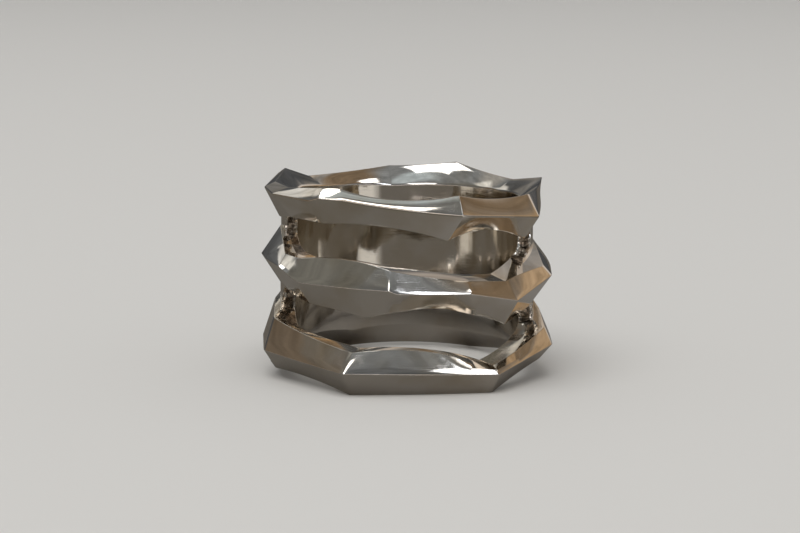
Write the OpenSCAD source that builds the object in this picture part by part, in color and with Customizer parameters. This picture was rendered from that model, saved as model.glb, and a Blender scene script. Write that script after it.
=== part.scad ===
// A faceted ring cut from one piece of metal: three waving bands, two slots at the front, a closed back.
// The finger axis is vertical. Angles are measured from the front (-Y), positive toward +X.

/* [Finger hole] */
// Diameter of the finger hole
bore_d = 18.2; // [17.8:0.1:18.6]

/* [Back wall] */
// Radius of the wall at the bottom of the upper groove
upper_wall_r = 10.15; // [9.95:0.1:10.35]
// Radius of the wall at the bottom of the lower groove
lower_wall_r = 10.25; // [10.05:0.1:10.55]
// Angle where the wall begins, right of the front
wall_from = 64; // [62:1:66]
// Angle where the wall ends, left of the front
wall_to = 296; // [294:1:298]

/* [Facets] */
// Widest angle of one step along a facet
facet_step = 4; // [4:1:10]

/* [Hidden] */

bore_r = bore_d / 2;
bore_z = [-1, 18];            // from where to where the finger hole is cleared
core_r = bore_r - 0.15;       // where the bands end inside the finger hole, before it is cleared
wall_core_r = bore_r - 0.55;  // where the wall ends there
wall_z = [2.6, 7.8, 8.8, 13.9]; // heights of the wall's outline, with a slope between its two radii
round_fn = 96;
bite_fn = 48;
silver = [0.80, 0.79, 0.77];

// Columns of the band tables. A row is one corner of the band. The first three columns are points
// of the form [angle, radius, height], and the last three shape the facet up to the next row.
CREST = 0; // top edge of the outer facet
RIDGE = 1; // widest edge, between the upper and the lower facet
FOOT = 2;  // bottom edge of the lower facet
RIM = 3;   // height where the top face meets the finger hole
SOLE = 4;  // height where the bottom face meets the finger hole
BOW = 5;   // how far the middle of the facet stands out from a straight cut
LIFT = 6;  // how far the middle of the crest stands above a straight line
ARCH = 7;  // how far the middle of the foot stands above a straight line

top_band = [
    [[-111, 10.7, 16.1], [-114, 11.7, 15.5], [-112,  9.8, 12.3], 14.7, 12.4, 0.0,  0.0, 0.0],
    [[ -80, 10.6, 15.7], [ -76, 11.7, 15.4], [ -78, 10.4, 12.9], 14.6, 12.9, 0.0,  0.0, 0.0],
    [[ -60, 10.7, 15.7], [ -62, 12.0, 15.2], [ -62, 10.3, 12.9], 14.6, 13.0, 0.0,  0.0, 0.0],
    [[ -39, 10.9, 16.1], [ -40, 11.8, 15.0], [ -39, 10.5, 13.2], 14.9, 13.2, 0.4, -0.6, 0.5],
    [[  21, 10.9, 15.7], [  21, 11.8, 14.2], [  17, 10.5, 12.1], 14.5, 12.6, 0.1, -0.3, 0.8],
    [[  60, 10.9, 15.2], [  59, 12.0, 13.7], [  61, 10.5, 11.5], 14.0, 12.0, 0.2, -0.1, 0.2],
    [[ 107, 11.6, 15.4], [ 108, 11.3, 14.2], [ 108,  9.8, 12.0], 14.2, 12.1, 0.0,  0.0, 0.0],
    [[ 124, 10.7, 14.9], [ 126, 11.6, 13.9], [ 126,  9.8, 11.9], 14.1, 12.0, 0.1,  0.0, 0.1],
    [[ 157, 10.8, 15.9], [ 157, 11.9, 14.6], [ 157,  9.8, 12.1], 14.1, 12.2, 0.1, -0.1, 0.1],
    [[ 188, 10.8, 15.5], [ 188, 11.9, 14.4], [ 188,  9.8, 12.1], 14.0, 12.2, 0.2, -0.1, 0.1],
    [[ 231, 10.6, 15.1], [ 230, 11.8, 14.4], [ 230,  9.8, 12.1], 14.4, 12.2, 0.0,  0.0, 0.0],
];

middle_band = [
    [[-112,  9.8, 12.7], [-112, 11.8, 10.2], [-112,  9.8,  6.6], 12.6,  6.7, 0.0,  0.0, 0.0],
    [[ -79, 10.3, 12.2], [ -78, 11.9, 10.0], [ -80, 10.1,  7.2], 12.0,  7.3, 0.0,  0.0, 0.0],
    [[ -68, 10.7, 11.0], [ -70, 11.9,  9.8], [ -68, 10.0,  7.0], 10.8,  7.2, 0.0,  0.0, 0.0],
    [[ -61, 10.8, 10.4], [ -57, 12.0,  9.6], [ -60, 10.0,  6.9], 10.4,  7.1, 0.0,  0.0, 0.0],
    [[ -52, 10.8, 10.3], [ -46, 11.8,  8.6], [ -48, 10.3,  6.7], 10.2,  6.9, 0.1,  0.3, 0.1],
    [[ -12, 10.6, 10.2], [ -20, 11.3,  8.5], [ -19, 10.3,  6.1],  9.9,  6.4, 0.0,  0.0, 0.0],
    [[  -7, 10.8, 10.1], [  -7, 11.7,  8.5], [  -6, 10.2,  6.6],  9.8,  6.7, 0.1, -0.1, 0.4],
    [[  26, 10.8,  9.4], [  25, 11.7,  8.2], [  29, 10.4,  6.2],  9.3,  6.5, 0.0,  0.0, 0.1],
    [[  47, 10.8,  8.6], [  46, 11.9,  7.2], [  47, 10.4,  5.1],  9.0,  5.6, 0.0,  0.1, 0.0],
    [[  70, 11.5,  9.2], [  74, 12.0,  8.5], [  71, 10.3,  5.9], 10.2,  6.1, 0.0,  0.0, 0.0],
    [[  84, 10.4, 10.4], [  87, 11.6,  8.7], [  84, 10.3,  6.8], 10.6,  6.9, 0.1,  0.0, 0.0],
    [[ 112,  9.8, 11.9], [ 112, 11.8,  9.4], [ 112,  9.8,  6.4], 11.8,  6.5, 0.2,  0.0, 0.0],
    [[ 160,  9.8, 12.2], [ 160, 11.9,  9.8], [ 160,  9.8,  6.7], 12.1,  6.8, 0.2,  0.0, 0.0],
    [[ 205,  9.8, 12.2], [ 205, 11.9,  9.7], [ 205,  9.8,  6.6], 12.1,  6.7, 0.2,  0.0, 0.0],
];

bottom_band = [
    [[-112,  9.8,  7.6], [-112, 11.8,  3.5], [-112, 10.9,  1.0],  7.5,  1.9, 0.0,  0.0, 0.0],
    [[ -89, 10.7,  6.0], [ -86, 11.7,  3.1], [ -84, 11.1,  0.9],  5.8,  1.8, 0.0,  0.0, 0.0],
    [[ -74, 11.1,  4.8], [ -73, 12.0,  2.6], [ -73, 11.0,  0.8],  3.9,  1.7, 0.1,  0.2, 0.1],
    [[ -23, 10.7,  3.4], [ -25, 11.8,  1.9], [ -25, 10.6,  0.0],  3.5,  1.5, 0.4,  0.8, 0.0],
    [[  38, 10.8,  2.4], [  37, 11.8,  1.7], [  37, 10.9,  0.0],  2.3,  1.3, 0.0,  0.0, 0.1],
    [[  73, 11.5,  4.2], [  74, 12.1,  2.9], [  72, 11.1,  1.6],  3.8,  2.0, 0.0,  0.0, 0.0],
    [[  87, 10.7,  5.2], [  89, 11.6,  3.0], [  88, 11.0,  1.4],  4.6,  2.1, 0.0,  0.0, 0.0],
    [[ 112,  9.8,  7.2], [ 112, 11.8,  3.4], [ 112, 10.9,  0.7],  7.1,  1.7, 0.1,  0.0, 0.0],
    [[ 150,  9.8,  7.5], [ 150, 11.9,  3.4], [ 150, 10.8,  0.0],  7.4,  1.7, 0.5,  0.0, 0.3],
    [[ 210,  9.8,  7.4], [ 210, 11.9,  3.3], [ 210, 10.8,  0.0],  7.3,  1.7, 0.2,  0.0, 0.2],
];

// Round bites that hollow the wall's ends, seen from outside: angle, height, radius
slot_bites = [
    [-63, 12.0, 1.7],
    [ 66, 11.7, 1.7],
    [-67,  5.6, 1.8],
    [-76,  4.9, 1.2],
    [ 70,  4.9, 1.8],
];

// A point at angle a, radius r and height z
function polar(a, r, z) = [r * sin(a), -r * cos(a), z];

// The section of a band at one of its rows, from the sole round the outside to the rim
function section(row) = [
    [row[FOOT][0], core_r, row[SOLE]],
    row[FOOT],
    row[RIDGE],
    row[CREST],
    [row[CREST][0], core_r, row[RIM]],
];

// A point on the straight line between two points given as [angle, radius, height]
function on_chord(p, q, t) = polar(p[0], p[1], p[2]) * (1 - t) + polar(q[0], q[1], q[2]) * t;

// A point on the arc between them
function on_arc(p, q, t) = polar(p[0] + turn(p, q) * t, p[1], p[2] * (1 - t) + q[2] * t);

function turn(p, q) = (q[0] - p[0] + 360) % 360;

// The section a share t of the way from one row to the next
function between(row, next, t) =
    let (
        a = section(row),
        b = section(next),
        swell = 4 * t * (1 - t),
        out = polar(a[2][0] + turn(a[2], b[2]) * t, row[BOW] * swell, 0),
        arch = [0, 0, row[ARCH] * swell],
        lift = [0, 0, row[LIFT] * swell]
    )
    [
        on_arc(a[0], b[0], t) + arch,
        on_chord(a[1], b[1], t) + out + arch,
        on_chord(a[2], b[2], t) + out,
        on_chord(a[3], b[3], t) + out + lift,
        on_arc(a[4], b[4], t),
    ];

// Every section round the band, the corners and the steps between them
function sections(rows) = [
    for (k = [0:len(rows) - 1])
        let (
            row = rows[k],
            next = rows[(k + 1) % len(rows)],
            steps = ceil(turn(row[RIDGE], next[RIDGE]) / facet_step)
        )
        for (s = [0:steps - 1]) between(row, next, s / steps)
];

// One waving band, a closed loop of five-sided sections
module band(rows) {
    loop = sections(rows);
    n = len(loop);
    sides = len(loop[0]);
    points = [for (s = loop) for (p = s) p];
    faces = [
        for (i = [0:n - 1])
            for (j = [0:sides - 1])
                let (
                    a = i * sides + j,
                    b = i * sides + (j + 1) % sides,
                    c = ((i + 1) % n) * sides + (j + 1) % sides,
                    d = ((i + 1) % n) * sides + j
                )
                each [[a, b, c], [a, c, d]]
    ];
    polyhedron(points = points, faces = faces);
}

// The wall behind the bands, with hollowed ends where the two slots stop
module back_wall() {
    difference() {
        rotate([0, 0, wall_from - 90])
            rotate_extrude(angle = wall_to - wall_from, $fn = round_fn)
                polygon([
                    [wall_core_r, wall_z[0]],
                    [lower_wall_r, wall_z[0]],
                    [lower_wall_r, wall_z[1]],
                    [upper_wall_r, wall_z[2]],
                    [upper_wall_r, wall_z[3]],
                    [wall_core_r, wall_z[3]],
                ]);
        for (bite = slot_bites)
            rotate([0, 0, bite[0] - 90])
                translate([0, 0, bite[1]])
                    rotate([0, 90, 0])
                        cylinder(h = 2 * bore_r, r = bite[2], $fn = bite_fn);
    }
}

module ring() {
    color(silver)
        difference() {
            union() {
                band(top_band);
                band(middle_band);
                band(bottom_band);
                back_wall();
            }
            translate([0, 0, bore_z[0]])
                cylinder(h = bore_z[1] - bore_z[0], r = bore_r, $fn = round_fn);
        }
}

ring();
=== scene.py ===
# Open-banded silver ring: three waving faceted bands on one closed back, lying on its side.
import bpy
import bmesh
import random
from math import sin, cos, radians, degrees, atan2, ceil, pi
from mathutils import Matrix, Vector


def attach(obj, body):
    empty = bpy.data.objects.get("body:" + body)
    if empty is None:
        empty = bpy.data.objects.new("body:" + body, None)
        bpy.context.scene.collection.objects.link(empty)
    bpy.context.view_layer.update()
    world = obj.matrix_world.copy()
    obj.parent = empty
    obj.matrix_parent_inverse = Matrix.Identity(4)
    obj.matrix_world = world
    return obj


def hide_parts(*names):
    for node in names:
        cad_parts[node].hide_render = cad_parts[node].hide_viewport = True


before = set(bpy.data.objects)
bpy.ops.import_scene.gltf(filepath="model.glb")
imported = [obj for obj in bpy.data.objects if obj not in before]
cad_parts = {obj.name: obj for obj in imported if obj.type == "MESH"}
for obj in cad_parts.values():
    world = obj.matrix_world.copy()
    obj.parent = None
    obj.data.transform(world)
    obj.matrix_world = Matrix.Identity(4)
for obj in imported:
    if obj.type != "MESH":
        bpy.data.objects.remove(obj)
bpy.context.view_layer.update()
mm = 0.001
print("frame loaded:", sorted(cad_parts))


def linear(hexColour):
    # sRGB hex to the linear colour that the sockets take
    parts = [int(hexColour[i:i + 2], 16) / 255 for i in (1, 3, 5)]
    return (*[p / 12.92 if p <= 0.04045 else ((p + 0.055) / 1.055) ** 2.4 for p in parts], 1.0)


def polar(angle, radius, height):
    # angle in degrees from the front (-Y), positive toward +X; radius and height in mm
    return Vector((radius * sin(radians(angle)), -radius * cos(radians(angle)), height)) * mm


def only(thing):
    # the one object that is selected and active
    bpy.ops.object.select_all(action="DESELECT")
    thing.select_set(True)
    bpy.context.view_layer.objects.active = thing


def settle(thing):
    # puts the object's place into its mesh
    only(thing)
    bpy.ops.object.transform_apply(location=True, rotation=True, scale=True)


def cut(thing, tool, how):
    only(thing)
    boolean = thing.modifiers.new(how.lower(), "BOOLEAN")
    boolean.operation = how
    boolean.solver = "MANIFOLD"
    boolean.object = tool
    bpy.ops.object.modifier_apply(modifier=boolean.name)
    bpy.data.objects.remove(tool)


def corner(crest, ridge, foot, rim, sole, **shape):
    return {"crest": crest, "ridge": ridge, "foot": foot, "rim": rim, "sole": sole, **shape}


# Each band is a loop of corners. Crest, ridge and foot are (angle, radius, height), rim and sole are
# heights at the finger hole. The others shape the facet up to the next corner, at its middle: bow and
# crestBow outward, lift, ridgeLift, arch and rimLift raise the crest, ridge, foot and rim. Crown rounds
# the upper facet just above its ridge, at that corner, collar does the same to the top face, and round
# is how far the corner's own edge is buffed to each side. Edges are how far each long edge is buffed.
# Angles in degrees, the rest in mm.
topBand = {
    "step": 2.2,                 # degrees between two sections
    "shoulderAt": 0.40,          # how far up the facet the crown sits
    "collarAt": 0.46,            # and how far in on the top face the collar does
    "round": 0.10,
    "edges": {"sole": 0.14, "foot": 0.12, "ridge": 0.12, "crest": 0.09, "rim": 0.13},
    "corners": [
        corner((-111, 10.7, 16.1), (-114, 11.7, 15.5), (-112, 9.8, 12.3), 14.7, 12.4),
        corner((-80, 10.6, 15.7), (-76, 11.7, 15.4), (-78, 10.4, 12.9), 14.6, 12.9),
        corner((-60, 10.7, 15.7), (-62, 12, 15.2), (-62, 10.3, 13.2), 14.6, 13.2),
        corner((-39, 10.9, 16.05), (-40.5, 11.8, 15.05), (-40, 10.5, 13.2), 14.9, 13.2),
        corner((-37, 10.9, 16.1), (-35.2, 11.8, 15.37), (-35, 10.5, 13.25), 14.9, 13.25),
        corner((-30, 10.5, 16.1), (-27, 11.05, 15.2), (-29, 10.3, 13.3), 14.85, 13.3,
               bow=0.25, lift=-0.55, ridgeLift=-0.12, arch=0.33, crown=0.07, crestBow=0.28,
               shoulderAt=0.22, round=0.35),
        corner((21, 10.9, 15.7), (21, 11.8, 14.2), (17, 10.5, 12.1), 14.5, 12.6,
               bow=0.1, lift=-0.3, arch=0.8, crown=0.04, shoulderAt=0.45, round=0.05),
        corner((60, 10.9, 15.2), (59, 12, 13.45), (61, 10.5, 11.5), 14, 12,
               bow=0.2, lift=-0.1, arch=0.2, round=0.22),
        corner((107, 11.6, 15.4), (108, 11.3, 14.2), (108, 9.8, 12), 14.2, 12.1),
        corner((124, 10.7, 14.9), (126, 11.6, 13.9), (126, 9.8, 11.9), 14.1, 12,
               bow=0.1, lift=-0.15, arch=0.1, collar=0.05),
        corner((157, 10.8, 15.9), (157, 11.9, 14.6), (157, 9.8, 12.1), 14.1, 12.2,
               bow=0.1, lift=-0.1, arch=0.1, collar=0.13),
        corner((188, 10.8, 15.5), (188, 11.9, 14.4), (188, 9.8, 12.1), 14, 12.2,
               bow=0.2, lift=-0.1, arch=0.1, collar=0.13),
        corner((231, 10.6, 15.1), (230, 11.8, 14.4), (230, 9.8, 12.1), 14.4, 12.2, collar=0.06),
    ],
}

middleBand = {
    "step": 2.2,
    "shoulderAt": 0.24,
    "collarAt": 0.5,
    "round": 0.12,
    "edges": {"sole": 0.14, "foot": 0.12, "ridge": 0.14, "crest": 0.10, "rim": 0.18},
    "corners": [
        corner((-112, 9.8, 12.7), (-112, 11.8, 10.2), (-112, 9.8, 6.6), 12.6, 6.7),
        corner((-79, 10.3, 12.2), (-78, 11.9, 10), (-80, 10.1, 7.2), 12, 7.3),
        corner((-68, 10.55, 11), (-70, 11.9, 9.8), (-68, 10, 7), 10.8, 7.2),
        corner((-61, 10.95, 10.4), (-57, 12, 9.6), (-60, 10, 6.9), 10.4, 7.1),
        corner((-52.6, 10.8, 10.3), (-51.5, 11.85, 9), (-53, 10.1, 6.8), 10.25, 7, round=0.07),
        corner((-51, 10.8, 10.3), (-46, 11.8, 8.6), (-48, 10.3, 6.7), 10.2, 6.9,
               bow=0.1, lift=0.3, arch=0.1, rimLift=0.25),
        corner((-12, 10.6, 10.2), (-20, 11.3, 8.5), (-19, 10.3, 6.1), 10.1, 6.4),
        corner((-7, 10.8, 9.95), (-7, 11.7, 8.5), (-6, 10.2, 6.6), 10, 6.7, crown=0.05, round=0.09),
        corner((-5, 10.78, 9.88), (-4, 11.65, 8.25), (-3, 10.2, 6.65), 9.95, 6.75,
               bow=0.1, lift=-0.1, arch=0.38, crown=0.05),
        corner((26, 10.8, 9), (25, 11.7, 8.1), (29, 10.4, 6.2), 9.3, 6.5, arch=0.1, crown=0.05),
        corner((45, 10.8, 8.62), (46, 11.9, 7.2), (47, 10.4, 5.1), 9, 5.6, lift=0.1),
        corner((70, 11.5, 9.2), (74, 12, 8.35), (71, 10.3, 5.9), 10.2, 6.1, round=0.32),
        corner((84, 10.4, 10.4), (87, 11.6, 8.7), (84, 10.3, 6.8), 10.6, 6.9, bow=0.1),
        corner((112, 9.8, 11.9), (112, 11.8, 9.4), (112, 9.8, 6.4), 11.8, 6.5, bow=0.2),
        corner((160, 9.8, 12.2), (160, 11.9, 9.8), (160, 9.8, 6.7), 12.1, 6.8, bow=0.2),
        corner((205, 9.8, 12.2), (205, 11.9, 9.7), (205, 9.8, 6.6), 12.1, 6.7, bow=0.2),
    ],
}

bottomBand = {
    "step": 2.2,
    "shoulderAt": 0.34,
    "collarAt": 0.5,
    "round": 0.12,
    "edges": {"sole": 0.14, "foot": 0.14, "ridge": 0.13, "crest": 0.10, "rim": 0.18},
    "corners": [
        corner((-112, 9.8, 7.6), (-112, 11.8, 3.5), (-112, 10.9, 1), 7.5, 1.9),
        corner((-89, 10.7, 6), (-86, 11.7, 3.1), (-84, 11.1, 0.9), 5.8, 1.8),
        corner((-74, 11.1, 4.9), (-73, 12, 2.3), (-73, 11, 0.8), 4.1, 1.7,
               bow=0.1, lift=-0.2, arch=0.25, rimLift=0.15, round=0.3),
        corner((-23, 10.7, 3.4), (-25, 11.8, 1.9), (-25, 10.6, 0), 3.5, 1.5,
               bow=0.27, lift=0.65, crown=0.02, crestBow=-0.1, rimLift=0.7),
        corner((38, 10.8, 2.15), (37, 11.8, 1.6), (37, 10.9, 0), 2.3, 1.3,
               lift=-0.25, arch=0.1, crown=0.15),
        corner((73, 11.5, 4.2), (74, 12.1, 2.75), (72, 11.1, 1.6), 3.8, 2, round=0.28),
        corner((87, 10.7, 5.2), (89, 11.6, 3), (88, 11, 1.4), 4.6, 2.1),
        corner((112, 9.8, 7.2), (112, 11.8, 3.4), (112, 10.9, 0.7), 7.1, 1.7, bow=0.1),
        corner((150, 9.8, 7.5), (150, 11.9, 3.4), (150, 10.8, 0), 7.4, 1.7, bow=0.5, arch=0.3),
        corner((210, 9.8, 7.4), (210, 11.9, 3.3), (210, 10.8, 0), 7.3, 1.7, bow=0.2, arch=0.2),
    ],
}

fingerHole = {
    "radius": 9.1,
    "bandsReach": 9.094,     # how far in the bands go before the hole is cleared
    "sides": 240,
    "depth": 24, "middle": 8,      # of the tool that clears it
}

# the lines of a section, from the inside round, and how finely their edges are buffed
lines = ("sole", "foot", "ridge", "shoulder", "crest", "collar", "rim")
buffing = {
    "cornerSteps": (0, 0.25, 0.5, 0.75, 1),      # shares of the way round a corner
    "edgeSteps": 5,
    "weld": 0.002,                               # mm, points nearer than this become one
    "smoothBelow": 22,                           # degrees of a bend that still looks smooth,
    "hollowBelow": 10,                           # and of one that folds inward
}


def turnTo(p, q):
    return (q[0] - p[0]) % 360


def onChord(p, q, t):
    return polar(*p) * (1 - t) + polar(*q) * t


def onArc(p, q, t):
    return polar(p[0] + turnTo(p, q) * t, p[1], p[2] * (1 - t) + q[2] * t)


def bulged(p, q, share, bulge, out):
    # a point a share of the way from p to q, pushed out of the metal
    slope = q - p
    facing = slope.cross(Vector((-p.y, p.x, 0))).normalized()
    if facing.dot(out) < 0:
        facing = -facing
    return p + slope * share + facing * bulge * mm


def sectionBetween(band, row, nextRow, t):
    def mixed(key, otherwise=0):
        return row.get(key, otherwise) * (1 - t) + nextRow.get(key, otherwise) * t

    crest, ridge, foot, rim, sole = [row[k] for k in ("crest", "ridge", "foot", "rim", "sole")]
    crest2, ridge2, foot2, rim2, sole2 = [nextRow[k] for k in ("crest", "ridge", "foot", "rim", "sole")]
    swell = 4 * t * (1 - t)
    here = ridge[0] + turnTo(ridge, ridge2) * t
    outward = polar(here, row.get("bow", 0) * swell, 0)
    up = Vector((0, 0, mm)) * swell
    inner = fingerHole["bandsReach"]
    a = onArc((foot[0], inner, sole), (foot2[0], inner, sole2), t) + up * row.get("arch", 0)
    b = onChord(foot, foot2, t) + outward + up * row.get("arch", 0)
    c = onChord(ridge, ridge2, t) + outward + up * row.get("ridgeLift", 0)
    d = onChord(crest, crest2, t) + outward + up * row.get("lift", 0)
    d = d + polar(here, row.get("crestBow", 0) * swell, 0)
    e = onArc((crest[0], inner, rim), (crest2[0], inner, rim2), t) + up * row.get("rimLift", 0)
    shoulder = bulged(c, d, mixed("shoulderAt", band["shoulderAt"]), mixed("crown"), Vector((c.x, c.y, 0)))
    collar = bulged(d, e, band["collarAt"], mixed("collar"), Vector((0, 0, 1)))
    return [a, b, c, shoulder, d, collar, e]


def sectionsOf(band):
    # straight facets, with each corner between two of them buffed round
    rows = band["corners"]
    loop = []
    for k, row in enumerate(rows):
        lastRow, nextRow = rows[k - 1], rows[(k + 1) % len(rows)]
        lastLength = (polar(*row["ridge"]) - polar(*lastRow["ridge"])).length / mm
        length = (polar(*nextRow["ridge"]) - polar(*row["ridge"])).length / mm
        reach, nextReach = [r.get("round", band["round"]) for r in (row, nextRow)]
        before = sectionBetween(band, lastRow, row, 1 - reach / lastLength)
        tip = sectionBetween(band, row, nextRow, 0)
        after = sectionBetween(band, row, nextRow, reach / length)
        for u in buffing["cornerSteps"]:
            loop.append([a * (1 - u) ** 2 + c * 2 * u * (1 - u) + b * u ** 2
                         for a, c, b in zip(before, tip, after)])
        first, last = reach / length, 1 - nextReach / length
        steps = ceil(turnTo(row["ridge"], nextRow["ridge"]) * (last - first) / band["step"])
        loop += [sectionBetween(band, row, nextRow, first + (last - first) * s / steps)
                 for s in range(1, steps)]
    return loop


def layBand(name, band):
    loop, sides = sectionsOf(band), len(lines)
    bpy.ops.object.select_all(action="DESELECT")
    bpy.ops.mesh.primitive_torus_add(major_segments=len(loop), minor_segments=sides)
    piece = bpy.context.object
    piece.name = name
    for i, section in enumerate(loop):                     # each ring of its points becomes a section
        for j, place in enumerate(section):
            piece.data.vertices[i * sides + j].co = place
    only(piece)
    bpy.ops.object.mode_set(mode="EDIT")
    bpy.ops.mesh.select_all(action="SELECT")
    bpy.ops.mesh.normals_make_consistent(inside=False)
    bpy.ops.object.mode_set(mode="OBJECT")
    widest = max(band["edges"].values())
    weights = piece.data.attributes.new("bevel_weight_edge", "FLOAT", "EDGE")
    for edge in piece.data.edges:
        a, b = sorted(edge.vertices)
        if a // sides != b // sides:                       # it runs along the band
            weights.data[edge.index].value = band["edges"].get(lines[a % sides], 0) / widest
    buffed = piece.modifiers.new("buffedEdges", "BEVEL")
    buffed.limit_method = "WEIGHT"
    buffed.width = widest * mm
    buffed.segments = buffing["edgeSteps"]
    bpy.ops.object.modifier_apply(modifier=buffed.name)
    piece.data.attributes.remove(piece.data.attributes["bevel_weight_edge"])
    print(name, len(piece.data.polygons), "faces")
    return piece


top = layBand("topBand", topBand)
middle = layBand("middleBand", middleBand)
bottom = layBand("bottomBand", bottomBand)


# The wall behind the bands. Where it stops, the slots end in rough bites, as the casting left them.
backWall = {
    "fromAngle": 64, "toAngle": 296,
    "outline": [(8.55, 2.6), (10.25, 2.6), (10.25, 7.8), (10.15, 8.8), (10.15, 13.9), (8.55, 13.9)],
    "steps": 116,
    # angle, height, radius of each bite
    "bites": [(-63, 12.0, 1.7), (66, 11.7, 1.7), (-67, 5.6, 1.8), (-76, 4.9, 1.2), (70, 4.9, 1.8)],
    "biteSides": 64, "biteRings": 25,
    "biteFrom": 7.9, "biteTo": 11.3,         # radii it runs between
    "flare": 0.06,                           # how much wider it is at its outer end
    "waver": 0.15, "grit": 0.035,            # slow and quick unevenness
    "waves": (3, 5, 8, 13),                  # slow waves round it, that many times each
    "waveSizes": (0.3, 1), "waveLean": 0.7,  # their sizes, and how far they may turn on the way out
    "waveSum": 2.6,                          # about what they add up to
    "lipsAt": (9.1, 10.2),                   # radii of its two worn edges
    "lip": 0.16, "lipReach": 0.28,           # how far back they are worn, and how deep
    "lipWaves": 7, "lipRagged": 0.3,
    "seed": 7,
    "weld": 1e-6,
}


def spinWall(wall):
    bpy.ops.object.select_all(action="DESELECT")
    bpy.ops.mesh.primitive_circle_add(vertices=len(wall["outline"]), fill_type="NGON", radius=mm)
    piece = bpy.context.object
    piece.name = "backWall"
    for vertex, (radius, height) in zip(piece.data.vertices, wall["outline"]):
        vertex.co = polar(wall["fromAngle"], radius, height)
    only(piece)
    bpy.ops.object.mode_set(mode="EDIT")
    bpy.ops.mesh.select_all(action="SELECT")
    bpy.ops.mesh.spin(steps=wall["steps"], angle=-radians(wall["toAngle"] - wall["fromAngle"]),
                      center=(0, 0, 0), axis=(0, 0, 1))
    bpy.ops.mesh.select_all(action="SELECT")
    bpy.ops.mesh.remove_doubles(threshold=wall["weld"])
    bpy.ops.mesh.normals_make_consistent(inside=False)
    bpy.ops.object.mode_set(mode="OBJECT")
    angles = [degrees(atan2(v.co.x, -v.co.y)) % 360 for v in piece.data.vertices]
    print("back wall spans", round(min(angles)), "to", round(max(angles)))
    return piece


def makeBite(wall, angle, height, radius, chance):
    depth, middle = wall["biteTo"] - wall["biteFrom"], (wall["biteTo"] + wall["biteFrom"]) / 2
    bpy.ops.object.select_all(action="DESELECT")
    bpy.ops.mesh.primitive_cone_add(vertices=wall["biteSides"], radius1=radius * (1 - wall["flare"]) * mm,
                                    radius2=radius * (1 + wall["flare"]) * mm, depth=depth * mm)
    bite = bpy.context.object
    only(bite)
    bpy.ops.object.mode_set(mode="EDIT")
    bpy.ops.mesh.select_all(action="DESELECT")
    bpy.ops.mesh.select_mode(type="EDGE")
    work = bmesh.from_edit_mesh(bite.data)
    for edge in work.edges:
        edge.select_set(abs(edge.verts[0].co.z - edge.verts[1].co.z) > depth / 2 * mm)
    bmesh.update_edit_mesh(bite.data)
    bpy.ops.mesh.subdivide(number_cuts=wall["biteRings"])
    bpy.ops.object.mode_set(mode="OBJECT")
    lean, ragged = wall["waveLean"], wall["lipRagged"]
    waves = [(k, chance.uniform(0, 2 * pi), chance.uniform(-lean, lean), chance.uniform(*wall["waveSizes"]))
             for k in wall["waves"]]
    for vertex in bite.data.vertices:
        around, out = atan2(vertex.co.y, vertex.co.x), vertex.co.z / mm
        slow = sum(sin(k * around + start + twist * out * 2) * size for k, start, twist, size in waves)
        shift = slow / wall["waveSum"] * wall["waver"] + chance.uniform(-1, 1) * wall["grit"]
        reach = Vector((middle + out, vertex.co.x / mm)).length
        worn = max(0, 1 - min(abs(reach - at) for at in wall["lipsAt"]) / wall["lipReach"])
        uneven = 0.6 + 0.4 * sin(wall["lipWaves"] * around + waves[0][1]) + chance.uniform(-ragged, ragged)
        shift += wall["lip"] * worn * uneven
        flat = Vector((vertex.co.x, vertex.co.y, 0))
        vertex.co += flat.normalized() * shift * mm
    bite.location = polar(angle, middle, height)
    bite.rotation_euler = (radians(90), 0, radians(angle))
    settle(bite)
    return bite


wall = spinWall(backWall)
chance = random.Random(backWall["seed"])
for biteAt in backWall["bites"]:
    cut(wall, makeBite(backWall, *biteAt, chance), "DIFFERENCE")
print("slot ends bitten")

# One casting: the four are joined and the finger hole is cleared.
ring = top
ring.name = "silverRing"
ring.data.name = "silverRing"
for part in (middle, bottom, wall):
    cut(ring, part, "UNION")
bpy.ops.object.select_all(action="DESELECT")
bpy.ops.mesh.primitive_cylinder_add(vertices=fingerHole["sides"], radius=fingerHole["radius"] * mm,
                                    depth=fingerHole["depth"] * mm,
                                    location=(0, 0, fingerHole["middle"] * mm))
hole = bpy.context.object
settle(hole)
cut(ring, hole, "DIFFERENCE")

only(ring)
bpy.ops.object.mode_set(mode="EDIT")
bpy.ops.mesh.select_all(action="SELECT")
bpy.ops.mesh.remove_doubles(threshold=buffing["weld"] * mm)
bpy.ops.object.mode_set(mode="OBJECT")
bpy.ops.object.shade_smooth_by_angle(angle=radians(buffing["smoothBelow"]))
# inner corners, such as where a band meets the wall, stay sharp at smaller angles too
bpy.ops.object.mode_set(mode="EDIT")
bpy.ops.mesh.select_mode(type="EDGE")
bpy.ops.mesh.select_all(action="DESELECT")
work = bmesh.from_edit_mesh(ring.data)
for edge in work.edges:
    edge.select_set(edge.is_manifold and edge.calc_face_angle_signed() < -radians(buffing["hollowBelow"]))
bmesh.update_edit_mesh(ring.data)
bpy.ops.mesh.mark_sharp()
bpy.ops.object.mode_set(mode="OBJECT")
# the facets shade flat right up to their buffed edges
flats = ring.modifiers.new("flatFacets", "WEIGHTED_NORMAL")
flats.weight = 100                               # the largest faces count most
flats.keep_sharp = True
bpy.ops.object.modifier_apply(modifier=flats.name)
print("joined:", len(ring.data.polygons), "faces")

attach(ring, "root")
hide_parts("ring")


def addNode(tree, kind, at, settings=None, links=None, **fields):
    node = tree.nodes.new(kind)
    node.location = at
    for name, value in fields.items():
        setattr(node, name, value)
    for name, value in (settings or {}).items():
        node.inputs[name].default_value = value
    for name, source in (links or {}).items():
        tree.links.new(source, node.inputs[name])
    return node


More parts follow.
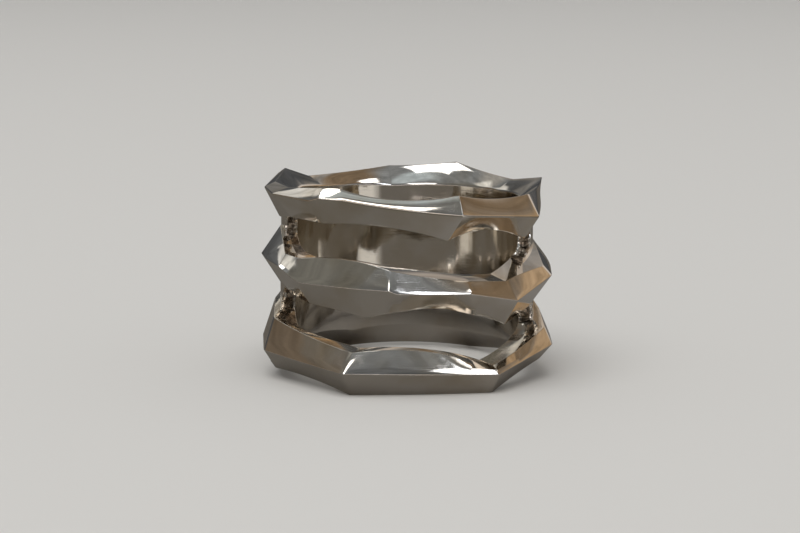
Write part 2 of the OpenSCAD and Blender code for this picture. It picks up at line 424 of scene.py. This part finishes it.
# Sterling silver, cast, filed flat and buffed by hand. The eye gets crisp mirrored rooms in the
# facets, bent a little by the hand's waviness, with a haze of hairlines and a few casting pits.
polish = {
    "colour": "#F0ECE5", "handled": "#DDD3C2",   # clean metal, and where skin has warmed its tone
    "gloss": (0.035, 0.11),                      # roughness between the cleanest and the hazed places
    "waviness": 2.4, "wavinessDepth": 0.014,     # mm from crest to crest, and mm deep
    "ripple": 0.6, "rippleDepth": 0.0016,
    "hairLength": 3.2, "hairWidth": 0.08,        # a buff's hairlines, drawn wider than real to show
    "hairDepth": 0.0004, "hairRoughness": 0.06,
    "hairTurns": ((0, 0, 0), (24, 0, 8), (-52, 10, 0)),    # most run along the bands, a few cross them
    "pitSpacing": 1.5, "pitSize": 0.05, "pitDepth": 0.02,
    "pitless": 0.75,                             # share of the cells without a pit
    "edgeRound": 0.07,
    "handledSize": 4.0, "hazeSize": 1.6,         # mm across one patch
    # between which values of its noise each comes in
    "handledAt": (0.45, 0.75), "hazeAt": (0.42, 0.72), "hairAt": (0.60, 0.76),
}
# The same silver where no file reached: skin of the casting, dull grains that glint.
castSkin = {
    "colour": "#A2978A", "hollow": "#5F564B",    # the grains' tops, and the tarnish between them
    "gloss": (0.14, 0.34),
    "grain": 0.6, "grainDepth": 0.035,
    "dullAt": (0.35, 0.65), "toppedAt": (0.40, 0.56),
    # where it is: between two radii, this near a bite's edge, and on faces that look sideways
    "radii": (9.3, 10.02), "beside": 0.36, "sideways": 0.6,
}
mapEnds = ("From Min", "From Max", "To Min", "To Max")


def patternAt(tree, size, at, stretch=(1, 1, 1), turn=(0, 0, 0)):
    # the piece's own coordinates, scaled so that a pattern repeats about every size mm
    place = addNode(tree, "ShaderNodeTexCoord", (at[0] - 400, at[1]))
    return addNode(tree, "ShaderNodeMapping", (at[0] - 200, at[1]),
                   {"Scale": [1 / (size * mm * s) for s in stretch], "Rotation": [radians(t) for t in turn]},
                   {"Vector": place.outputs["Object"]}).outputs["Vector"]


def polishedSilver(look):
    made = bpy.data.materials.new("PolishedSterlingSilver")
    made.use_nodes = True
    tree = made.node_tree
    shader = tree.nodes["Principled BSDF"]
    shader.inputs["Metallic"].default_value = 1.0

    handled = addNode(tree, "ShaderNodeTexNoise", (-900, 500), {"Scale": 1.0, "Detail": 3.0},
                      {"Vector": patternAt(tree, look["handledSize"], (-900, 500))})
    amount = addNode(tree, "ShaderNodeMapRange", (-700, 500), dict(zip(mapEnds, look["handledAt"])),
                     {"Value": handled.outputs["Fac"]})
    tint = addNode(tree, "ShaderNodeMix", (-500, 500),
                   {6: linear(look["colour"]), 7: linear(look["handled"])},
                   {"Factor": amount.outputs["Result"]}, data_type="RGBA")
    tree.links.new(tint.outputs[2], shader.inputs["Base Color"])

    hairs = []
    for k, turn in enumerate(look["hairTurns"]):
        strands = addNode(tree, "ShaderNodeTexNoise", (-900, 200 - 200 * k), {"Scale": 1.0, "Detail": 2.0},
                          {"Vector": patternAt(tree, look["hairWidth"], (-900, 200 - 200 * k),
                                               (look["hairLength"] / look["hairWidth"],) * 2 + (1,), turn)})
        hairs.append(addNode(tree, "ShaderNodeMapRange", (-700, 200 - 200 * k),
                             dict(zip(mapEnds, look["hairAt"])), {"Value": strands.outputs["Fac"]}))
    some = addNode(tree, "ShaderNodeMath", (-500, 100),
                   links={0: hairs[0].outputs["Result"], 1: hairs[1].outputs["Result"]}, operation="MAXIMUM")
    allHairs = addNode(tree, "ShaderNodeMath", (-350, 50),
                       links={0: some.outputs[0], 1: hairs[2].outputs["Result"]}, operation="MAXIMUM")

    haze = addNode(tree, "ShaderNodeTexNoise", (-900, -400), {"Scale": 1.0, "Detail": 5.0, "Roughness": 0.65},
                   {"Vector": patternAt(tree, look["hazeSize"], (-900, -400))})
    dull = addNode(tree, "ShaderNodeMapRange", (-700, -400), dict(zip(mapEnds, look["hazeAt"] + look["gloss"])),
                   {"Value": haze.outputs["Fac"]})
    rough = addNode(tree, "ShaderNodeMath", (-300, -300), {1: look["hairRoughness"]},
                    {0: allHairs.outputs[0], 2: dull.outputs["Result"]}, operation="MULTIPLY_ADD")
    tree.links.new(rough.outputs[0], shader.inputs["Roughness"])

    # casting pits: a dot in the middle of some cells
    cells = addNode(tree, "ShaderNodeTexVoronoi", (-900, -700), {"Scale": 1.0},
                    {"Vector": patternAt(tree, look["pitSpacing"], (-900, -700))})
    dot = addNode(tree, "ShaderNodeMapRange", (-700, -700),
                  {"From Min": look["pitSize"] / look["pitSpacing"], "From Max": 0.0},
                  {"Value": cells.outputs["Distance"]})
    which = addNode(tree, "ShaderNodeSeparateColor", (-700, -900), links={"Color": cells.outputs["Color"]})
    chosen = addNode(tree, "ShaderNodeMath", (-550, -900), {1: look["pitless"]}, {0: which.outputs[0]},
                     operation="GREATER_THAN")
    pits = addNode(tree, "ShaderNodeMath", (-400, -700),
                   links={0: dot.outputs["Result"], 1: chosen.outputs[0]}, operation="MULTIPLY")

    wave = addNode(tree, "ShaderNodeTexNoise", (-900, -1100), {"Scale": 1.0, "Detail": 1.0},
                   {"Vector": patternAt(tree, look["waviness"], (-900, -1100))})
    ripple = addNode(tree, "ShaderNodeTexNoise", (-900, -1300), {"Scale": 1.0, "Detail": 2.0},
                     {"Vector": patternAt(tree, look["ripple"], (-900, -1300))})
    normal = addNode(tree, "ShaderNodeBevel", (-600, -1100), {"Radius": look["edgeRound"] * mm},
                     samples=4).outputs["Normal"]
    for source, depth, invert, x in ((wave.outputs["Fac"], look["wavinessDepth"], False, -400),
                                     (ripple.outputs["Fac"], look["rippleDepth"], False, -200),
                                     (allHairs.outputs[0], look["hairDepth"], True, 0),
                                     (pits.outputs[0], look["pitDepth"], True, 200)):
        normal = addNode(tree, "ShaderNodeBump", (x, -1100), {"Strength": 1.0, "Distance": depth * mm},
                         {"Height": source, "Normal": normal}, invert=invert).outputs["Normal"]
    tree.links.new(normal, shader.inputs["Normal"])
    return made


def roughCastSilver(look):
    made = bpy.data.materials.new("RoughCastSilver")
    made.use_nodes = True
    tree = made.node_tree
    shader = tree.nodes["Principled BSDF"]
    shader.inputs["Metallic"].default_value = 1.0
    grain = addNode(tree, "ShaderNodeTexNoise", (-700, 0), {"Scale": 1.0, "Detail": 4.0, "Roughness": 0.6},
                    {"Vector": patternAt(tree, look["grain"], (-700, 0))})
    dull = addNode(tree, "ShaderNodeMapRange", (-450, 100), dict(zip(mapEnds, look["dullAt"] + look["gloss"])),
                   {"Value": grain.outputs["Fac"]})
    tree.links.new(dull.outputs["Result"], shader.inputs["Roughness"])
    topped = addNode(tree, "ShaderNodeMapRange", (-450, 350), dict(zip(mapEnds, look["toppedAt"])),
                     {"Value": grain.outputs["Fac"]})
    tint = addNode(tree, "ShaderNodeMix", (-250, 300),
                   {6: linear(look["hollow"]), 7: linear(look["colour"])},
                   {"Factor": topped.outputs["Result"]}, data_type="RGBA")
    tree.links.new(tint.outputs[2], shader.inputs["Base Color"])
    bump = addNode(tree, "ShaderNodeBump", (-250, -200),
                   {"Strength": 1.0, "Distance": look["grainDepth"] * mm}, {"Height": grain.outputs["Fac"]})
    tree.links.new(bump.outputs["Normal"], shader.inputs["Normal"])
    return made


ring.data.materials.clear()
ring.data.materials.append(polishedSilver(polish))
ring.data.materials.append(roughCastSilver(castSkin))
roughFaces = 0
for face in ring.data.polygons:
    face.material_index = 0
    at = face.center / mm
    radius = at.xy.length
    if not castSkin["radii"][0] < radius < castSkin["radii"][1]:
        continue
    outward = Vector((at.x, at.y, 0)).normalized()
    if abs(face.normal.dot(outward)) > castSkin["sideways"]:
        continue
    here = degrees(atan2(at.x, -at.y))
    for angle, height, size in backWall["bites"]:
        away = Vector((radians(here - angle) * radius, at.z - height)).length
        if abs(away - size) < castSkin["beside"]:
            face.material_index = 1
            roughFaces += 1
            break
print("faces with the casting's skin:", roughFaces)


# The studio. A polished ring is little else than what it mirrors, so the paper and the air have one
# tone for the eye and another for the metal, and the cards hang only in what the metal mirrors. The
# paper's tone in the metal is painted shade, darker than the eye sees it, with painted light toward
# the right and in a paler fan.
studio = {
    "floorColour": "#DAD8D4", "floorSize": 8,        # matt paper, in metres
    # painted shade that only the metal mirrors: the paper darker than the eye sees it, less dark at the right
    "floorLeft": "#716D67", "floorRight": "#87837E",  # the paper in the metal, at the ring's two sides,
    "acrossAt": (-12, 14),                           # and between where one turns to the other, mm
    # painted shade farther off, and painted light in a paler fan, both only in what the metal mirrors
    "floorFar": "#66615A", "floorPaintedLightFan": "#DAD5CD",  # farther off, and in a paler fan of it
    "farAt": (20, 34),                               # mm from the ring's axis
    "paintedFanAt": 46, "paintedFanHalf": 13,                # the fan's direction and half its width, degrees
    "airColour": "#E4E4E4", "airStrength": 0.60,
    "lowAir": "#4A4B4D", "highAir": "#7D7F80",       # the air in the metal, low down and overhead,
    "highAt": (0.25, 0.95),                          # and between which heights it changes, 1 is overhead
    "clouding": 0.34, "cloudsAt": (0.3, 0.7), "cloudScale": 9.0,
    "washPower": 7.4, "washSize": 1.0, "washPlace": (-0.20, -0.35, 1.12),      # watts and metres
    "glossyBounces": 12,                             # the finger hole mirrors itself many times over
    # name: angle, elevation, tilt, half width, half height in degrees, softness, colour, brightness
    "cards": {
        "lowFront": (0, 11, 0, 62, 6, 0.6, "#FFF6F0", 1.3),
        "rightTan": (110, 52.5, 0, 30, 18, 0.2, "#B39A7E", 0.41),
        "rightSand": (108, 14, 0, 26, 18, 0.3, "#D3B592", 0.62),
        "leftBrown": (-102, 22, 0, 12, 18, 0.4, "#B4A08A", 0.30),
        "leftGreen": (-74, 42, 0, 20, 12, 0.3, "#BDBAB0", 0.30),
        "backLeftGrey": (-148, 36.3, 24, 13, 6, 0.12, "#D8D6D2", 0.95),
        "backLeftHigh": (-146, 54, 0, 14, 7, 0.5, "#CFCBC4", 0.50),
        "rightBack": (138, 17, 0, 12, 20, 0.7, "#FFF3E8", 0.6),
        "midLeft": (-121, 50, 0, 11, 5, 0.3, "#E6E3DC", 0.85),
        "farLeft": (-170, 16, 0, 6, 6, 0.4, "#D8D4CE", 0.25),
        "back": (177, 36, 0, 8, 12, 0.7, "#F4E6D8", 0.5),
        "paleHigh": (-22, 72, 0, 13, 9, 0.4, "#D8E2E6", 0.60),
        "frontKey": (-20.5, 42.5, 0, 11.5, 9.5, 0.1, "#FFFFFF", 3.2),
        "rightKey": (33, 46.2, 52, 14, 3.4, 0.15, "#EEF4FF", 2.8),
        "leftHigh": (-102, 76, 0, 11, 6.8, 0.15, "#FFFFFF", 3.4),
        "rightHigh": (71.5, 60, -62, 5.5, 4, 0.25, "#FFFFFF", 2.4),
    },
}


def glossySwitch(tree, seen, mirrored, at):
    # one colour for the eye and for soft light, another for what the metal mirrors
    path = addNode(tree, "ShaderNodeLightPath", (at[0] - 200, at[1] + 200))
    return addNode(tree, "ShaderNodeMix", at, {6: linear(seen)},
                   {"Factor": path.outputs["Is Glossy Ray"], 7: mirrored}, data_type="RGBA").outputs[2]


def layFloor(room):
    bpy.ops.object.select_all(action="DESELECT")
    bpy.ops.mesh.primitive_plane_add(size=room["floorSize"], location=(0, 0, 0))
    floor = bpy.context.object
    floor.name = "studioFloor"
    made = bpy.data.materials.new("MattPaper")
    made.use_nodes = True
    tree = made.node_tree
    shader = tree.nodes["Principled BSDF"]
    shader.inputs["Roughness"].default_value = 0.9
    shader.inputs["Specular IOR Level"].default_value = 0.2
    # for the metal the paper is painted: shade darker than it looks, less dark to the right, darker again
    # farther off, and a fan of painted light
    place = addNode(tree, "ShaderNodeTexCoord", (-1500, 0))
    axes = addNode(tree, "ShaderNodeSeparateXYZ", (-1300, 0), links={0: place.outputs["Object"]})
    toFront = addNode(tree, "ShaderNodeMath", (-1150, -150), {1: -1.0}, {0: axes.outputs["Y"]},
                      operation="MULTIPLY")
    angle = addNode(tree, "ShaderNodeMath", (-1000, -50),
                    links={0: axes.outputs["X"], 1: toFront.outputs[0]}, operation="ARCTAN2")
    off = addNode(tree, "ShaderNodeMath", (-850, -50), {1: radians(room["paintedFanAt"])},
                  {0: angle.outputs[0]}, operation="SUBTRACT")
    aside = addNode(tree, "ShaderNodeMath", (-700, -50), links={0: off.outputs[0]}, operation="ABSOLUTE")
    fan = addNode(tree, "ShaderNodeMapRange", (-550, -50),
                  {end: radians(room["paintedFanHalf"] * share) for end, share in zip(mapEnds, (1.5, 0.5))},
                  {"Value": aside.outputs[0]}, interpolation_type="SMOOTHSTEP")
    reach = addNode(tree, "ShaderNodeVectorMath", (-1150, 200), links={0: place.outputs["Object"]},
                    operation="LENGTH")
    away = addNode(tree, "ShaderNodeMapRange", (-950, 200),
                   {end: at * mm for end, at in zip(mapEnds, room["farAt"])},
                   {"Value": reach.outputs["Value"]}, interpolation_type="SMOOTHSTEP")
    far = addNode(tree, "ShaderNodeMix", (-400, 0),
                  {6: linear(room["floorFar"]), 7: linear(room["floorPaintedLightFan"])},
                  {"Factor": fan.outputs["Result"]}, data_type="RGBA")
    across = addNode(tree, "ShaderNodeMapRange", (-700, 350),
                     {end: at * mm for end, at in zip(mapEnds, room["acrossAt"])},
                     {"Value": axes.outputs["X"]}, interpolation_type="SMOOTHSTEP")
    near = addNode(tree, "ShaderNodeMix", (-500, 350),
                   {6: linear(room["floorLeft"]), 7: linear(room["floorRight"])},
                   {"Factor": across.outputs["Result"]}, data_type="RGBA")
    both = addNode(tree, "ShaderNodeMix", (-250, 100),
                   links={"Factor": away.outputs["Result"], 6: near.outputs[2], 7: far.outputs[2]},
                   data_type="RGBA")
    tree.links.new(glossySwitch(tree, room["floorColour"], both.outputs[2], (-100, 0)),
                   shader.inputs["Base Color"])
    floor.data.materials.append(made)


def hangWash(room):
    light = bpy.data.lights.new("wash", "AREA")
    light.shape = "SQUARE"
    light.size = room["washSize"]
    light.energy = room["washPower"]
    box = bpy.data.objects.new("wash", light)
    bpy.context.collection.objects.link(box)
    box.location = room["washPlace"]
    box.rotation_euler = (-box.location).to_track_quat("-Z", "Y").to_euler()
    box.visible_glossy = False               # it lights the paper and isn't mirrored


def fillAir(room):
    world = bpy.data.worlds.new("studioAir")
    world.use_nodes = True
    bpy.context.scene.world = world
    tree = world.node_tree
    sky = addNode(tree, "ShaderNodeTexCoord", (-1800, 0))
    height = addNode(tree, "ShaderNodeSeparateXYZ", (-1600, 200), links={0: sky.outputs["Generated"]})
    rise = addNode(tree, "ShaderNodeMapRange", (-1400, 200), dict(zip(mapEnds, room["highAt"])),
                   {"Value": height.outputs["Z"]}, interpolation_type="SMOOTHSTEP")
    mix = addNode(tree, "ShaderNodeMix", (-1200, 200),
                  {6: linear(room["lowAir"]), 7: linear(room["highAir"])},
                  {"Factor": rise.outputs["Result"]}, data_type="RGBA")
    for k, card in enumerate(room["cards"].values()):
        angle, elevation, tilt, halfWidth, halfHeight, softness, colour, brightness = card
        x = -1000 + 100 * k
        facing = (Matrix.Rotation(radians(angle + 180), 3, "Z")
                  @ Matrix.Rotation(radians(elevation), 3, "X") @ Matrix.Rotation(radians(tilt), 3, "Y"))
        turned = addNode(tree, "ShaderNodeMapping", (x, -200),
                         {"Rotation": facing.to_euler(),
                          "Scale": (sin(radians(halfWidth)), 1, sin(radians(halfHeight)))},
                         {"Vector": sky.outputs["Generated"]}, vector_type="TEXTURE")
        folded = addNode(tree, "ShaderNodeVectorMath", (x, -400), links={0: turned.outputs["Vector"]},
                         operation="ABSOLUTE")
        sides = addNode(tree, "ShaderNodeSeparateXYZ", (x, -600), links={0: folded.outputs["Vector"]})
        edge = addNode(tree, "ShaderNodeMath", (x, -800),
                       links={0: sides.outputs["X"], 1: sides.outputs["Z"]}, operation="MAXIMUM")
        mask = addNode(tree, "ShaderNodeMapRange", (x, -1000),
                       dict(zip(mapEnds, (1 + softness, 1 - softness))),
                       {"Value": edge.outputs[0]}, interpolation_type="SMOOTHSTEP")
        mix = addNode(tree, "ShaderNodeMix", (x, 200),
                      {7: [c * brightness for c in linear(colour)[:3]] + [1]},
                      {"Factor": mask.outputs["Result"], 6: mix.outputs[2]}, data_type="RGBA")
    # the room is never even, so the cards' light is clouded a little
    clouds = addNode(tree, "ShaderNodeTexNoise", (x, 600),
                     {"Scale": room["cloudScale"], "Detail": 5.0, "Roughness": 0.7},
                     {"Vector": sky.outputs["Generated"]})
    uneven = addNode(tree, "ShaderNodeMapRange", (x + 150, 600),
                     dict(zip(mapEnds, (*room["cloudsAt"], 1 - room["clouding"], 1 + room["clouding"]))),
                     {"Value": clouds.outputs["Fac"]})
    clouded = addNode(tree, "ShaderNodeVectorMath", (x + 150, 300),
                      links={0: mix.outputs[2], "Scale": uneven.outputs["Result"]}, operation="SCALE")
    background = tree.nodes["Background"]
    tree.links.new(glossySwitch(tree, room["airColour"], clouded.outputs["Vector"], (x + 300, 0)),
                   background.inputs["Color"])
    path = addNode(tree, "ShaderNodeLightPath", (x, 500))
    strength = addNode(tree, "ShaderNodeMapRange", (x + 200, 400),
                       {"To Min": room["airStrength"], "To Max": 1.0}, {"Value": path.outputs["Is Glossy Ray"]})
    tree.links.new(strength.outputs["Result"], background.inputs["Strength"])


layFloor(studio)
hangWash(studio)
fillAir(studio)
bpy.context.scene.view_settings.view_transform = "Standard"
bpy.context.scene.cycles.glossy_bounces = studio["glossyBounces"]
print("studio lit")

shot = {
    "place": (-0.57, -177.53, 38.21), "aim": (-0.57, 0.0, 8.5),      # mm
    "lens": 100, "sensor": 36,
    "clip": (0.005, 10),                                             # metres
}
camera = bpy.data.objects.new("camera", bpy.data.cameras.new("camera"))
bpy.context.collection.objects.link(camera)
camera.location = Vector(shot["place"]) * mm
camera.rotation_euler = (Vector(shot["aim"]) * mm - camera.location).to_track_quat("-Z", "Y").to_euler()
camera.data.lens = shot["lens"]
camera.data.sensor_width = shot["sensor"]
camera.data.clip_start, camera.data.clip_end = shot["clip"]
bpy.context.scene.camera = camera
print("camera set")
